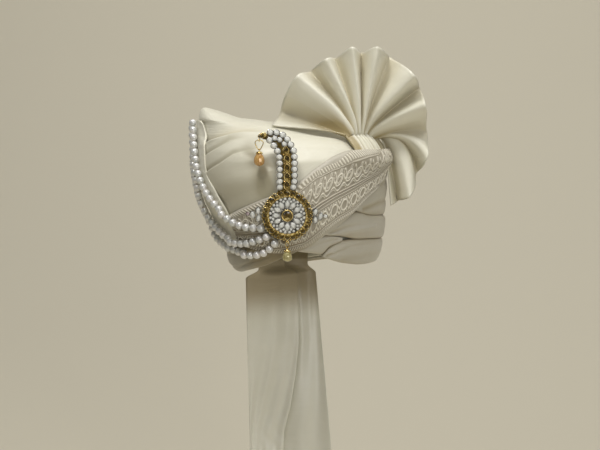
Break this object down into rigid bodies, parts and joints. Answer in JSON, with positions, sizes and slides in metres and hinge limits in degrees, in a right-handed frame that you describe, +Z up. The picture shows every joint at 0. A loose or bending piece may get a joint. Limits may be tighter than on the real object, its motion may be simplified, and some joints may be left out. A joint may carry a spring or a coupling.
{
  "type": "tied turban pagri",
  "caption": "Tied groom's turban: pointed satin crown, wound rolls, embroidered band, pleated fan, hanging tail, pearl strings and a jewelled plume brooch.",
  "frame": {"origin": "middle of the head opening at the height of the brow, where the turban sits on a head", "axes": "+Z up, the wearer faces -Y, +X is the wearer's left (the fan's side)"},
  "size_m": [0.3188, 0.2753, 0.5791],
  "materials": {
    "crown_satin": "cream satin, plain",
    "panel_satin": "cream satin, pleated",
    "wrap_satin": "cream satin, wound in rolls",
    "border_embroidery": "cream cloth embroidered in a raised leaf and vine pattern",
    "fan_satin": "cream satin, stiffened and pleated",
    "tail_satin": "cream satin, hanging",
    "pearl": "white pearl lustre",
    "gold": "polished gold plate",
    "amber_stone": "amber cut glass, foil backed",
    "clear_stone": "clear cut glass, foil backed"
  },
  "bodies": {
    "root": {"crown": "crown_satin", "front_panel": "panel_satin", "side_wrap": "panel_satin", "brow_wrap": "wrap_satin", "brow_fold": "wrap_satin", "lower_roll": "wrap_satin", "middle_roll": "wrap_satin", "upper_roll": "wrap_satin", "border_band": "border_embroidery", "fan": "fan_satin", "tail": "tail_satin", "pearl_string_upper": "pearl", "pearl_string_middle": "pearl", "pearl_string_lower": "pearl", "kalgi_setting": "gold", "kalgi_ring_stones": "amber_stone", "kalgi_petal_stones": "clear_stone", "kalgi_centre_stone": "amber_stone", "kalgi_right_stones": "clear_stone", "kalgi_left_stones": "clear_stone", "kalgi_stem_stones": "amber_stone", "kalgi_curl_stone": "amber_stone", "kalgi_left_spray": "clear_stone", "kalgi_right_spray": "clear_stone", "upper_drop_loop": "gold", "upper_drop_cap": "gold", "upper_drop_bead": "amber_stone", "lower_drop_loop": "gold", "lower_drop_cap": "gold", "lower_drop_bead": "clear_stone"}
  },
  "joints": []
}
